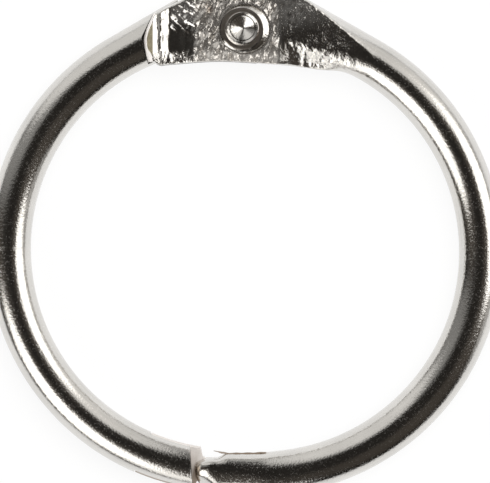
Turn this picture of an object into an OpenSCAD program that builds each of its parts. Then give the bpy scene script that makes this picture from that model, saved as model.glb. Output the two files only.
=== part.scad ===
// Binder ring: two half rings of round wire, joined by a riveted hinge and
// closed by a flat blade on one half that enters a slot in the other.
// The ring lies flat. Its plane is XY, the rivet's axis is +Z, the hinge is
// at +Y and the closure at -Y. The origin is below the ring's middle, on
// the surface that it lies on.

/* [Ring] */
// Inside width of the closed ring
inner_w = 25.4; // [22:0.1:51]
// Diameter of the round wire
wire_d = 2.6; // [2.3:0.05:3]
// How far the centre of each half's arc lies from the middle, sideways
arc_spread = 0.86; // [0.6:0.02:1.1]
// How much further out the fork half lies where the two halves meet
seam_step = 0.2; // [0:0.02:0.3]

/* [Hinge plate] */
// Thickness over both cheeks
hinge_t = 2.6; // [2.4:0.05:3]
// Width of the plate at the rivet
plate_w = 3.94; // [3.8:0.02:4.4]
// Distance from the rivet to the plate's round free end
plate_reach = 5.86; // [5:0.02:7]
// Length of the straight top edge to the left of the rivet
top_left = 3.2; // [2.6:0.1:4]
// Length of the straight top edge to the right of the rivet
top_right = 3.6; // [3:0.1:4.4]
// How far left of the rivet the free end's upper corner lies
corner_left = 5.2; // [4.6:0.05:5.4]
// How far above the rivet that corner lies
corner_up = 0.95; // [0.6:0.05:1.2]
// How far below the rivet the round free end begins
nose_down = 0.4; // [0:0.05:0.8]
// Radius of the arch along the plate's lower edge
arch_r = 38; // [30:1:60]
// How far the top of that arch lies left of the rivet
arch_shift = 1.1; // [0:0.1:2]
// Direction, seen from the fork half's arc centre, at which the wire is round
round_deg = 59; // [55:1:62]
// Length of the bevel at the free end
bevel_len = 0.62; // [0.3:0.02:1]
// Depth of the bevel at the free end
bevel_drop = 0.36; // [0.1:0.02:0.5]
// How far the rivet lies left of the middle
rivet_shift = 0.2; // [0:0.05:0.6]
// Distance from the rivet to the root of the slot between the cheeks
slot_root = 2.2; // [2.1:0.05:2.8]
// Radius of the cone that runs out into the wire, at its wide end
run_out_r = 2.7; // [2.6:0.05:3.2]

/* [Tongue] */
// Thickness of the tongue
tongue_t = 1.1; // [0.9:0.05:1.3]
// Radius of the round eye at the tongue's end
eye_r = 1.7; // [1.4:0.05:1.8]
// Width of the tongue's neck where it runs into the wire
neck_w = 1.8; // [1.6:0.05:2]
// Direction, seen from the half's arc centre, at which its outer side turns straight
flare_deg = 120; // [117:0.5:124]
// Length of the sloped shoulder between wire and tongue
shoulder_len = 0.5; // [0.2:0.05:0.8]
// Height of the shoulder's foot above the tongue
shoulder_foot = 0.2; // [0.05:0.05:0.4]

/* [Rivet] */
// Diameter of the shank
shank_d = 1.6; // [1.2:0.05:1.8]
// Diameter of the front head
head_d = 2.7; // [2.4:0.05:3]
// Height of the crown on the front head
head_h = 0.52; // [0.45:0.01:0.7]
// Height of the front head's outer rim
rim_h = 0.3; // [0.2:0.01:0.4]
// Width of the front head's outer rim
rim_w = 0.14; // [0.08:0.01:0.2]
// Depth of the groove between rim and crown
groove_deep = 0.12; // [0.05:0.01:0.15]
// Diameter of the crown's top edge
crown_d = 1.88; // [1.7:0.02:2]
// Width of the crown's outer slope
crown_slope = 0.12; // [0.06:0.02:0.2]
// Diameter of the conical dimple in the crown
dimple_d = 1.48; // [1.2:0.02:1.6]
// Depth of the dimple
dimple_deep = 0.34; // [0.1:0.01:0.4]
// Diameter of the dished ring around the front head, in the cheek
dish_d = 3.4; // [3.1:0.05:3.6]
// Depth of that dished ring
dish_deep = 0.1; // [0.05:0.01:0.15]
// Diameter of the back head
back_head_d = 3; // [2.6:0.05:3.4]
// Height of the back head
back_head_h = 0.3; // [0.2:0.02:0.5]
// Diameter of the flat on the back head
back_flat_d = 2.2; // [1.6:0.05:2.4]

/* [Closure] */
// How far left of the middle the tongue half's cut end lies
seam_x = 3.26; // [2.6:0.02:4]
// Width of the open seam between the two halves
seam_gap = 0.45; // [0.2:0.01:0.8]
// Thickness of the blade
blade_t = 1; // [0.8:0.02:1.2]
// Width of the blade
blade_w = 2.56; // [2.2:0.02:2.58]
// How far the blade goes into the slot
blade_in = 2.9; // [2:0.1:4]
// Length over which the blade's sides run into the tail
blade_run = 1.2; // [0.6:0.05:1.6]
// Radius of the rounded edge around the end of the tail
tail_round = 0.8; // [0.4:0.05:1]

/* [Clearances] */
// Play between tongue and cheek, and between blade and slot, on each side
side_play = 0.05; // [0.03:0.01:0.1]
// Play around the shank in the tongue's eye, in radius
eye_play = 0.05; // [0.03:0.01:0.1]
// Play around the shank in the cheeks, in radius
cheek_play = 0.02; // [0.01:0.01:0.04]
// Gap between the cheeks' round end and the tongue half's shoulder
end_play = 0.1; // [0.06:0.01:0.3]
// Gap between the blade's tip and the root of its slot
tip_play = 0.3; // [0.1:0.05:0.6]

/* [Hidden] */
$fn = 96;

// Ring
wire_r = wire_d / 2;
arc_r = inner_w / 2 - arc_spread + wire_r;
fork_c = [arc_spread, -seam_step / 2];
tongue_c = [-arc_spread, seam_step / 2];
tail_y = fork_c.y - arc_r;

// Hinge
rivet = [-rivet_shift, sqrt(pow(arc_r, 2) - pow(arc_spread, 2))];
slot_t = tongue_t + 2 * side_play;
outline_top = rivet.y + plate_w / 2;
arch_c = rivet + [-arch_shift, -plate_w / 2 - arch_r];
edge_steps = 24;
round_step = 15;
round_point = polar(fork_c, arc_r, round_deg);
right_corner = rivet + [top_right, plate_w / 2];
left_corner = rivet + [-top_left, plate_w / 2];
end_corner = rivet + [-corner_left, corner_up];
nose = rivet + [-sqrt(pow(plate_reach, 2) - pow(nose_down, 2)), -nose_down];
run_out_point = [right_corner.x, (outline_top + arch_y(right_corner.x)) / 2];
cheek_z = hinge_t / 2;
seat_z = cheek_z - dish_deep;

// Tongue
shoulder_r = plate_reach + end_play;
rivet_deg = atan2(rivet.y - tongue_c.y, rivet.x - tongue_c.x);
overshoot = 1.2;

// Cutting shapes pass their faces, and joined shapes run into each other
past = 1;
wide = inner_w;
sink = 0.05;
sink_deg = arc_deg(sink);
overlap_deg = 4;

// Closure
blade_slot_t = blade_t + 2 * side_play;
cut_deg = 180 + acos((seam_x - arc_spread) / arc_r);
tip_deg = cut_deg - arc_deg(blade_in);
root_deg = tip_deg - arc_deg(tip_play);
tail_x = seam_gap - seam_x;

// Height of the ring's middle plane and the shift that centres the ring
mid_z = hinge_t / 2 + back_head_h;
mid_y = (outline_top + tail_y - wire_r) / 2;

// Angle of a length measured along the wire
function arc_deg(length) = length / arc_r * 180 / PI;

// Angle between two points of the wire that are a straight length apart
function chord_deg(length) = 2 * asin(length / (2 * arc_r));

// Point at a radius and direction from a centre
function polar(c, r, deg) = c + r * [cos(deg), sin(deg)];

// Height of the lower edge's arch above or below the ring's middle
function arch_y(x) = arch_c.y + sqrt(pow(arch_r, 2) - pow(x - arch_c.x, 2));

// Point where a line from p touches the circle around c, on its left side
function touch(p, c, r) =
    let (v = p - c, reach = norm(v), deg = atan2(v.y, v.x) - acos(r / reach))
    polar(c, r, deg);

module at_rivet() {
    translate(rivet) children();
}

module in_frame() {
    translate([0, -mid_y, mid_z]) children();
}

// Round wire along an arc
module wire_arc(c, from_deg, to_deg) {
    translate(c)
        rotate_extrude(start = from_deg, angle = to_deg - from_deg)
            translate([arc_r, 0]) circle(d = wire_d);
}

// Flat bar of rectangular section along an arc
module flat_arc(c, width, thick, from_deg, to_deg) {
    translate(c)
        rotate_extrude(start = from_deg, angle = to_deg - from_deg)
            translate([arc_r, 0]) square([width, thick], center = true);
}

// Carries a shape that stands on Z so that it lies from p towards q
module along(p, q) {
    translate(p) rotate([0, 90, atan2(q.y - p.y, q.x - p.x)]) children();
}

// The same shape on the upper and the lower side of the middle plane
module both_faces() {
    children();
    mirror([0, 0, 1]) children();
}

// Full outline of the pressed plate, before its free end is rounded
function plate_outline() =
    let (
        beyond = 2 * nose - end_corner,
        step = (round_point.x - beyond.x) / edge_steps
    )
    concat(
        [beyond, end_corner, left_corner, right_corner],
        [touch(right_corner, fork_c, arc_r + wire_r), round_point],
        [for (i = [0 : edge_steps]) let (x = round_point.x - i * step) [x, arch_y(x)]]
    );

// Plate with square edges at its free end and a cone where it runs out into
// the round wire
module hinge_plate() {
    intersection() {
        linear_extrude(hinge_t, center = true) polygon(plate_outline());
        union() {
            intersection() {
                at_rivet() cylinder(r = plate_reach, h = hinge_t + past, center = true);
                along(run_out_point, round_point)
                    translate([0, 0, sink - wide / 2]) cube(wide, center = true);
            }
            along(round_point, run_out_point)
                cylinder(r1 = wire_r - sink, r2 = run_out_r, h = norm(run_out_point - round_point));
        }
    }
}

// Gap between the two cheeks, open at the plate's end and along its top
module cheek_slot() {
    at_rivet() {
        cylinder(r = slot_root, h = slot_t, center = true);
        translate([-wide / 2, 0, 0]) cube([wide, 2 * plate_w, slot_t], center = true);
        translate([0, 0, -slot_t / 2]) cube([slot_root, plate_w, slot_t]);
    }
}

// Bore for the shank, with a shallow dish around the front head
module cheek_bore() {
    at_rivet() {
        cylinder(r = shank_d / 2 + cheek_play, h = hinge_t + past, center = true);
        translate([0, 0, seat_z])
            cylinder(r1 = head_d / 2 + cheek_play, r2 = dish_d / 2, h = dish_deep);
    }
}

// Slope that the bevel cuts across the plate's free end
module end_bevel() {
    slope = bevel_drop / bevel_len;
    at_rivet()
        rotate([90, 0, 0])
            linear_extrude(2 * plate_w, center = true)
                polygon([
                    [bevel_len - plate_reach, cheek_z],
                    [-plate_reach - past, cheek_z - bevel_drop - past * slope],
                    [-plate_reach - past, cheek_z + past],
                    [bevel_len - plate_reach, cheek_z + past]
                ]);
}

// Straight end of the fork half's wire, with a rounded edge around its end
module tail() {
    length = fork_c.x - tail_x;
    bend = [wire_r - tail_round, tail_round];
    translate([tail_x, tail_y, 0])
        rotate([0, 90, 0])
            rotate_extrude()
                polygon(concat(
                    [[0, length], [0, 0]],
                    [for (deg = [-90 : round_step : 0]) polar(bend, tail_round, deg)],
                    [[wire_r, length]]
                ));
}

// Flat blade that follows the tongue half's arc inside the slot
module blade() {
    foot = sqrt(pow(wire_r, 2) - pow(blade_t / 2, 2)) - sink;
    flat_arc(tongue_c, blade_w, blade_t, tip_deg, cut_deg);
    linear_extrude(blade_t, center = true)
        polygon([
            polar(tongue_c, arc_r - blade_w / 2, cut_deg - sink_deg),
            polar(tongue_c, arc_r + blade_w / 2, cut_deg - sink_deg),
            [tail_x + blade_run, tail_y - foot],
            [tail_x + blade_run, tail_y + foot]
        ]);
}

module fork_half_ring() {
    color("silver") in_frame() difference() {
        union() {
            wire_arc(fork_c, -90, round_deg + overlap_deg);
            hinge_plate();
            tail();
            blade();
        }
        cheek_slot();
        cheek_bore();
        both_faces() end_bevel();
    }
}

// Everything around the rivet that has to be clear of the cheeks: round about
// the rivet, and straight beside the slanted edge of the plate's free end
module tongue_relief() {
    foot = [shoulder_r, tongue_t / 2 + shoulder_foot];
    crest = foot + overshoot * ([shoulder_r + shoulder_len, wire_r] - foot);
    slant = end_corner - nose;
    intersection() {
        at_rivet()
            rotate_extrude()
                polygon([
                    [0, tongue_t / 2],
                    [shoulder_r, tongue_t / 2],
                    foot,
                    crest,
                    [crest.x, crest.y + past],
                    [0, crest.y + past]
                ]);
        translate(nose)
            rotate([0, 0, atan2(slant.y, slant.x)])
                translate([-wide / 2, end_play - wide, 0]) cube(wide);
    }
}

// Straight round bar that carries the wire's outer side on to the hinge
module flare() {
    start = polar(tongue_c, arc_r, flare_deg);
    run = [sin(flare_deg), -cos(flare_deg)];
    along(start, start + run)
        cylinder(r1 = wire_r - sink, r2 = wire_r, h = (end_corner - start) * run);
}

// Eye around the shank and the neck that joins it to the wire
module tongue() {
    root = polar(tongue_c, arc_r, rivet_deg + chord_deg(shoulder_r + shoulder_len));
    run = (root - rivet) / norm(root - rivet);
    side = [-run.y, run.x];
    at_rivet() cylinder(r = eye_r, h = tongue_t, center = true);
    linear_extrude(tongue_t, center = true)
        polygon([
            rivet + eye_r * side,
            rivet - eye_r * side,
            root - neck_w / 2 * side,
            root + neck_w / 2 * side
        ]);
}

module tongue_half_ring() {
    color("gainsboro") in_frame() difference() {
        union() {
            difference() {
                union() {
                    wire_arc(tongue_c, rivet_deg + chord_deg(2 * eye_r), cut_deg + overlap_deg);
                    flare();
                }
                both_faces() tongue_relief();
            }
            tongue();
        }
        at_rivet()
            cylinder(r = shank_d / 2 + eye_play, h = tongue_t + past, center = true);
        translate([-seam_x, -wide, -wire_d])
            cube([wide, wide, 2 * wire_d]);
        flat_arc(tongue_c, 2 * wire_d, blade_slot_t, root_deg, cut_deg + overlap_deg);
    }
}

module hinge_rivet() {
    groove_z = seat_z + rim_h - groove_deep;
    crown_z = seat_z + head_h;
    color("lightgray") in_frame() at_rivet()
        rotate_extrude()
            polygon([
                [0, -cheek_z - back_head_h],
                [back_flat_d / 2, -cheek_z - back_head_h],
                [back_head_d / 2, -cheek_z],
                [shank_d / 2, -cheek_z],
                [shank_d / 2, seat_z],
                [head_d / 2, seat_z],
                [head_d / 2, seat_z + rim_h],
                [head_d / 2 - rim_w, seat_z + rim_h],
                [crown_d / 2 + crown_slope, groove_z],
                [crown_d / 2, crown_z],
                [dimple_d / 2, crown_z],
                [0, crown_z - dimple_deep]
            ]);
}

fork_half_ring();
tongue_half_ring();
hinge_rivet();
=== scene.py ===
"""Binder ring in polished nickel plate: two half rings of round wire, a pressed
hinge with a rivet, and a closure where a flat blade enters a slot.

Lengths are in millimetres in the ring's own frame, whose origin is the middle of
the ring, until a piece is finished. settle() then brings it to metres and to the
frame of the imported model."""
import math

import bpy
import numpy as np
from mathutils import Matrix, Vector, noise


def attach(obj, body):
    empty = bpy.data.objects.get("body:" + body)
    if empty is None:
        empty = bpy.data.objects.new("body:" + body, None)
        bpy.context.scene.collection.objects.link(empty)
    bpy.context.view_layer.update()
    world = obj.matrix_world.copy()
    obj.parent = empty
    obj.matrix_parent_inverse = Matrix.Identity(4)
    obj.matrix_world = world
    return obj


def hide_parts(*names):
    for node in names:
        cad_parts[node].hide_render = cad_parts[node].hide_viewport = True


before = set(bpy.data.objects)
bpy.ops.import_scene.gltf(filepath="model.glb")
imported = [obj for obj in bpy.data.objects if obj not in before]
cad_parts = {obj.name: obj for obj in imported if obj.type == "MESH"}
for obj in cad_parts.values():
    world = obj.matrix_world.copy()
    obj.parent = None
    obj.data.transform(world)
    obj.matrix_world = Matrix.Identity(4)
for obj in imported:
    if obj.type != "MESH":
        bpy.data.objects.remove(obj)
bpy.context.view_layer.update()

# ------------------------------------ sizes, in mm; a name in _DEG is in degrees
MM = 0.001

# Play of the tongue between the cheeks and of the blade in its slot, on each side
SIDE_PLAY = 0.05

# Ring: each half's arc has its own centre, a little to one side of the middle
INNER_W = 25.4
WIRE_R = 1.3
ARC_SPREAD = 0.86
SEAM_STEP = 0.2
ARC_R = INNER_W / 2 - ARC_SPREAD + WIRE_R
FORK_C = (ARC_SPREAD, -SEAM_STEP / 2)
TONGUE_C = (-ARC_SPREAD, SEAM_STEP / 2)
ARC_STEPS = 150

# Thickness of the tongue, from which the slot between the cheeks follows
TONGUE_T = 1.1

# Rivet: its axis is at RIVET, and its head sits a little aside
RIVET = (-0.2, math.sqrt(ARC_R ** 2 - ARC_SPREAD ** 2))
SHANK_R = 0.8
SKIRT_R = 1.46
SKIRT_ASIDE = (0.2, -0.02)
BACK_HEAD_H = 0.3

# Hinge plate on the fork half: its outline in plan, and its two cheeks
ROUND_DEG = 59.0
PLATE_W = 3.94
CHEEK_Z = 1.3
SEAT_Z = CHEEK_Z - 0.1
CHEEK_BORE_R = SHANK_R + 0.02
OUTLINE_TOP = RIVET[1] + PLATE_W / 2
TOP_RIGHT_X = RIVET[0] + 3.6
TOP_LEFT_X = RIVET[0] - 3.2
CORNER = (RIVET[0] - 5.2, RIVET[1] + 0.95)
TOP_SLOPE = (OUTLINE_TOP - CORNER[1]) / (TOP_LEFT_X - CORNER[0])
PLATE_REACH = 5.86
NOSE_DOWN = 0.4
NOSE = (RIVET[0] - math.sqrt(PLATE_REACH ** 2 - NOSE_DOWN ** 2), RIVET[1] - NOSE_DOWN)
ARCH_R = 38.0
ARCH_C = (RIVET[0] - 1.1, RIVET[1] - PLATE_W / 2 - ARCH_R)

# Free end: length and slope of its bevel, radius of its edge, and the share of the height
# that it loses over the edge
BEVEL_LEN = 0.6
BEVEL_X = RIVET[0] - PLATE_REACH + BEVEL_LEN
BEVEL_SLOPE = 0.58
END_EDGE = 0.18
END_DROP = 0.18

# Slot between the cheeks, and how far past the rivet its root lies
SLOT_T = TONGUE_T + 2 * SIDE_PLAY
SLOT_ROOT = 2.2

# Rings of points on the plate, AROUND points in each: over the run-out, straight across,
# and towards its free end. The rest go round the free end's edge.
AROUND = 160
PLATE_RINGS = 240
RUN_OUT_RINGS = 70
ACROSS_RINGS = 142
END_RINGS = 16
RING_STEP = 0.05

# Tail of the fork half: its crowned end with a tighter lip, and the flash beside it
TAIL_Y = FORK_C[1] - ARC_R
TAIL_TIP = -2.98
CROWN_R = 1.25
CROWN_DEG = 41.0
LIP_R = 0.42
FLASH_FROM = -1.86
FLASH_TO = 1.25
FLASH_Z = 0.28
FLASH_T = 0.07

# Tongue half: its eye and neck, and the shoulder that clears the plate's free end
TONGUE_ROOT_DEG = 101.97
FLARE_DEG = 120
EYE_R = 1.7
EYE_BORE_R = SHANK_R + 0.05
NECK_ROOT = (-6.46, 12.03)
NECK_END_R = 0.9
SHOULDER_R = PLATE_REACH + 0.05
SHOULDER_TOP_R = 5.95

# Closure: where the tongue half is cut, and the blade that enters its slot
SEAM_X = 3.26
CUT_AT = np.array((-3.18, -12.9, 0))
CUT_DIR = np.array((0.998, 0.061, 0))
CUT_DEG = 180 + math.degrees(math.acos((SEAM_X - ARC_SPREAD) / ARC_R))
BLADE_IN = 2.9
TIP_DEG = CUT_DEG - math.degrees(BLADE_IN / ARC_R)
SLOT_END_DEG = TIP_DEG - 0.23
NECK_DEG = 261.45
BLADE_T = 1.0
BLADE_W = 2.54
BLADE_SLOT_T = BLADE_T + 2 * SIDE_PLAY

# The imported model's origin lies below the middle of the ring's outline, on the surface
# that the ring lies on
MID_Y = (OUTLINE_TOP + TAIL_Y - WIRE_R) / 2
MID_Z = CHEEK_Z + BACK_HEAD_H


# ------------------------------------------------------------ bench helpers
def let_go():
    """Leaves edit mode and deselects everything."""
    if bpy.context.mode != "OBJECT":
        bpy.ops.object.mode_set(mode="OBJECT")
    bpy.ops.object.select_all(action="DESELECT")


def take(obj):
    """Selects one object and nothing else."""
    let_go()
    obj.select_set(True)
    bpy.context.view_layer.objects.active = obj


def started(name):
    """Names the primitive that was just added and puts its place into its mesh."""
    obj = bpy.context.view_layer.objects.active
    obj.name = name
    obj.data.name = name
    take(obj)
    bpy.ops.object.transform_apply(location=True, rotation=True, scale=True)
    return obj


def points(obj):
    """Places of a piece's points, one to a row."""
    co = np.empty(len(obj.data.vertices) * 3)
    obj.data.vertices.foreach_get("co", co)
    return co.reshape(-1, 3)


def move_points(obj, co):
    obj.data.vertices.foreach_set("co", np.asarray(co, float).ravel())
    obj.data.update()


def of_faces(obj, what):
    """Centre or normal of each face."""
    values = np.empty(len(obj.data.polygons) * 3)
    obj.data.polygons.foreach_get(what, values)
    return values.reshape(-1, 3)


def open_with(obj, chosen):
    """Edit mode with the chosen points selected, and nothing else."""
    take(obj)
    mesh = obj.data
    mesh.polygons.foreach_set("select", np.zeros(len(mesh.polygons), bool))
    mesh.edges.foreach_set("select", np.zeros(len(mesh.edges), bool))
    mesh.vertices.foreach_set("select", np.asarray(chosen, bool))
    bpy.ops.object.mode_set(mode="EDIT")
    bpy.ops.mesh.select_mode(type="VERT")


def open_all(obj):
    """Edit mode with everything selected."""
    take(obj)
    bpy.ops.object.mode_set(mode="EDIT")
    bpy.ops.mesh.select_mode(type="VERT")
    bpy.ops.mesh.select_all(action="SELECT")


def tidy_up(obj, gap=1e-5):
    """Merges points that lie on each other and turns all faces outwards."""
    open_all(obj)
    bpy.ops.mesh.remove_doubles(threshold=gap)
    bpy.ops.mesh.normals_make_consistent(inside=False)
    let_go()


def close_ends(obj):
    """Fills the open ends with faces."""
    open_all(obj)
    bpy.ops.mesh.select_all(action="DESELECT")
    bpy.ops.mesh.select_non_manifold()
    bpy.ops.mesh.fill_holes(sides=0)
    let_go()
    tidy_up(obj)


def draw_out(by, grow, centre):
    """Extrudes what is selected by a step, then resizes it about a centre."""
    bpy.ops.mesh.extrude_region_move(TRANSFORM_OT_translate={"value": by})
    bpy.ops.transform.resize(value=grow, center_override=centre)


def join_in(obj, tool, how):
    """Cuts the tool out of the piece, or joins it to the piece, and puts the tool away."""
    take(obj)
    change = obj.modifiers.new("tool", "BOOLEAN")
    change.operation = how
    change.solver = "EXACT"
    change.object = tool
    bpy.ops.object.modifier_apply(modifier=change.name)
    bpy.data.objects.remove(tool)


def settle(obj, deg=40):
    """The finished piece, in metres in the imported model's frame."""
    take(obj)
    bpy.ops.object.shade_smooth_by_angle(angle=math.radians(deg))
    obj.scale = (MM, MM, MM)
    obj.location = (0, -MID_Y * MM, MID_Z * MM)
    bpy.ops.object.transform_apply(location=True, rotation=True, scale=True)
    let_go()


def polar(c, r, deg):
    return (c[0] + r * math.cos(math.radians(deg)), c[1] + r * math.sin(math.radians(deg)))


def touch(p, c, r):
    """Where a line from p touches the circle round c, clockwise of p."""
    dx, dy = p[0] - c[0], p[1] - c[1]
    return polar(c, r, math.degrees(math.atan2(dy, dx) - math.acos(r / math.hypot(dx, dy))))


def on_arc(c, deg):
    """Middle of the wire in the given direction, as a point in space."""
    return (*polar(c, ARC_R, deg), 0)


def ring_of_wire(name, c, deg, count):
    """One round of the wire, standing across the arc at the given direction."""
    let_go()
    bpy.ops.mesh.primitive_circle_add(
        vertices=count, radius=WIRE_R, location=on_arc(c, deg),
        rotation=(math.pi / 2, 0, math.radians(deg)))
    return started(name)


def sweep(c, deg, steps):
    """Spins what is selected about an arc's centre."""
    bpy.ops.mesh.spin(steps=steps, angle=-math.radians(deg), center=(*c, 0), axis=(0, 0, 1))


def disc(name, r, depth):
    """Flat round tool on the rivet's axis."""
    let_go()
    bpy.ops.mesh.primitive_cylinder_add(vertices=96, radius=r, depth=depth, location=(*RIVET, 0))
    return started(name)


def box(name, low, high):
    """Square tool between two corners."""
    let_go()
    low, high = Vector(low), Vector(high)
    bpy.ops.mesh.primitive_cube_add(size=1, location=(low + high) / 2, scale=high - low)
    return started(name)


def turned(name, profile, count, centres=None):
    """A turned piece on the rivet's axis: a circle, drawn out and resized step by step. The
    profile lists radius and height, and centres how far each step lies off the axis."""
    let_go()
    r, z = profile[0]
    bpy.ops.mesh.primitive_circle_add(
        vertices=count, radius=r, location=(*RIVET, z), fill_type="NGON")
    obj = started(name)
    open_all(obj)
    centre = Vector((*RIVET, z))
    for i, (new_r, new_z) in enumerate(profile[1:], 1):
        aside = centres[i] if centres else (0, 0)
        new = Vector((RIVET[0] + aside[0], RIVET[1] + aside[1], new_z))
        draw_out(new - centre, (new_r / r, new_r / r, 1), new)
        centre, r = new, new_r
    let_go()
    tidy_up(obj)
    return obj


def mix(a, b, t):
    return a + (b - a) * t


def share_of(x, a, b):
    """How far x has come from a to b, from 0 to 1."""
    return np.clip((x - a) / (b - a), 0, 1)


def ramp(x, a, b):
    """The same, with a soft start and end."""
    t = share_of(x, a, b)
    return t * t * (3 - 2 * t)


def zone(x, *edges):
    """1 between the middle two of four places along x, falling to 0 at the outer two."""
    return ramp(x, edges[0], edges[1]) * ramp(x, edges[3], edges[2])


def grain(x, y, size_x, size_y, seed, octaves=2):
    """Smooth noise between -1 and 1 with its own size in each direction."""
    flat = np.stack([np.ravel(x) / size_x, np.ravel(y) / size_y], 1)
    out = np.array([noise.fractal(Vector((p, q, seed)), 1.0, 2.0, octaves) for p, q in flat])
    return out.reshape(np.shape(x))


# ------------------------------------------------------ the pressed hinge plate
def outer_path(w):
    """Plate's outer edge over the run-out, from the round wire to the top edge."""
    start = np.array(polar(FORK_C, ARC_R + WIRE_R, ROUND_DEG))
    corner = np.array((TOP_RIGHT_X, OUTLINE_TOP))
    leaves_wire = np.array(touch(corner, FORK_C, ARC_R + WIRE_R))
    first = np.linalg.norm(leaves_wire - start)
    total = first + np.linalg.norm(corner - leaves_wire)
    run = w[:, None] * total
    return np.where(run < first, mix(start, leaves_wire, run / first),
                    mix(leaves_wire, corner, (run - first) / (total - first)))


def arch_y(x):
    """The arch of the lower edge, drawn up a little at the run-out and left of the
    rivet."""
    arch = ARCH_C[1] + np.sqrt(ARCH_R ** 2 - (x - ARCH_C[0]) ** 2)
    return arch + 0.13 * ramp(x, 4.3, 5.8) + 0.06 * np.exp(-((x + 1.6) / 1.5) ** 2)


def inner_y(x):
    """Plate's lower edge: the arch, rounded off at its corner on the left, and the inner side
    of the wire on the right, with a soft change between them."""
    wire = FORK_C[1] + np.sqrt(np.maximum((ARC_R - WIRE_R) ** 2 - (x - FORK_C[0]) ** 2, 0))
    arch = arch_y(x) + 0.35 * share_of(x, -5.1, -5.7) ** 2
    soft = 0.06
    low = -soft * np.logaddexp(-wire / soft, -arch / soft)
    return np.where(x > 2, low, arch)


def outer_y(x):
    """Plate's top edge, which slants down to the corner of its free end."""
    return np.where(x < TOP_LEFT_X, OUTLINE_TOP + (x - TOP_LEFT_X) * TOP_SLOPE, OUTLINE_TOP)


def free_end_x(y):
    """The free end in plan: round about the rivet, and slanted above its nose."""
    rounded = RIVET[0] - np.sqrt(PLATE_REACH ** 2 - (y - RIVET[1]) ** 2)
    slant = NOSE[0] + (y - NOSE[1]) * (CORNER[0] - NOSE[0]) / (CORNER[1] - NOSE[1])
    soft = 0.12
    return soft * np.logaddexp(rounded / soft, slant / soft)


def end_edge(y):
    """Radius of the free end's edge, which grows towards its lower corner."""
    return END_EDGE * (1 + 1.3 * ramp(y, 12.0, 11.35))


def run_out_x(count=60):
    """Even steps along the lower edge over the run-out."""
    x = np.linspace(polar(FORK_C, ARC_R - WIRE_R, ROUND_DEG)[0], TOP_RIGHT_X, 400)
    steps = np.hypot(np.diff(x), np.diff(inner_y(x)))
    length = np.concatenate([[0], np.cumsum(steps)])
    return np.interp(np.linspace(0, length[-1], count), length, x)


def pressed_section(w, plate, f):
    """Distance from the outer edge and height of one section, for points counted by f
    from 0 at the outer edge to 1 at the inner edge. w runs from 0 at the round wire to 1
    where the run-out ends, and on past it; plate is the section's width."""
    band = np.interp(w, [0, 0.03, 0.07, 0.15, 0.3, 0.5, 0.7, 0.9, 1.0],
                     [1.3, 1.17, 1.04, 0.9, 0.75, 0.52, 0.30, 0.14, 0.08])
    radius = (band ** 2 + CHEEK_Z ** 2) / (2 * band)
    roll_w = np.interp(w, [0, 0.3, 0.6, 0.85, 1.0, 1.3], [1.3, 1.2, 1.2, 1.2, 1.1, 0.1])
    roll_h = np.interp(w, [0, 0.2, 0.4, 0.6, 0.85, 1.0, 1.3],
                       [1.3, 1.1, 0.85, 0.65, 0.45, 0.3, 0.1])
    # f1, f2 and f3: where the outer roll, the flat and the inner roll end
    part = ramp(w, 0, 0.6)
    f1 = mix(0.5, 0.15, part)
    f2 = mix(0.5, mix(0.62, 0.86, ramp(w, 0.8, 1.15)), part)
    f3 = mix(f2, 1.0, mix(1.0, 0.6, part))
    turn = np.arcsin(np.clip(CHEEK_Z / radius, -1, 1)) * np.clip(f / f1, 0, 1)
    t_out = radius * (1 - np.cos(turn))
    z_out = radius * np.sin(turn)
    t_flat = mix(band, plate - roll_w, np.clip((f - f1) / np.maximum(f2 - f1, 1e-6), 0, 1))
    bend = share_of(f, f2, f3) * np.pi / 2
    wall = np.clip((f - f3) / np.maximum(1 - f3, 1e-6), 0, 1)
    t_in = plate - roll_w + roll_w * np.sin(bend)
    round_fall = 1 - np.cos(bend)
    facet_fall = np.sin(bend) ** 1.25
    facet = ramp(w, 0.25, 0.8) * ramp(w, 1.3, 1.0)
    z_in = CHEEK_Z - roll_h * mix(round_fall, facet_fall, facet) - wall * (CHEEK_Z - roll_h)
    t = np.where(f < f1, t_out, np.where(f < f2, t_flat, t_in))
    z = np.where(f < f1, z_out, np.where(f < f2, CHEEK_Z, z_in))
    return t, z


def places_of_rings():
    """Where each ring of points stands: from 0 to 1 over the run-out, to 2 straight across
    the plate, to 3 where the rings turn to the free end, and to 4 round its edge."""
    rest = PLATE_RINGS + 1 - RUN_OUT_RINGS - ACROSS_RINGS - END_RINGS
    return np.concatenate([
        np.linspace(0, 1, RUN_OUT_RINGS, endpoint=False),
        1 + np.linspace(0, 1, ACROSS_RINGS, endpoint=False),
        2 + np.linspace(0, 1, END_RINGS),
        np.linspace(3.06, 4, rest)])


def ends_of_sections(place):
    """Outer and inner end of each section in plan."""
    w = np.clip(place, 0, 1)
    flat = place >= 1
    x_plate = mix(TOP_RIGHT_X, BEVEL_X, np.clip(place - 1, 0, 1))
    outer = outer_path(w)
    outer[flat, 0] = x_plate[flat]
    outer[flat, 1] = outer_y(x_plate[flat])
    over_run_out = run_out_x()
    x_in = np.interp(w, np.linspace(0, 1, len(over_run_out)), over_run_out)
    x_in = np.where(flat, x_plate, x_in)
    return outer, np.stack([x_in, inner_y(x_in)], 1)


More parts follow.
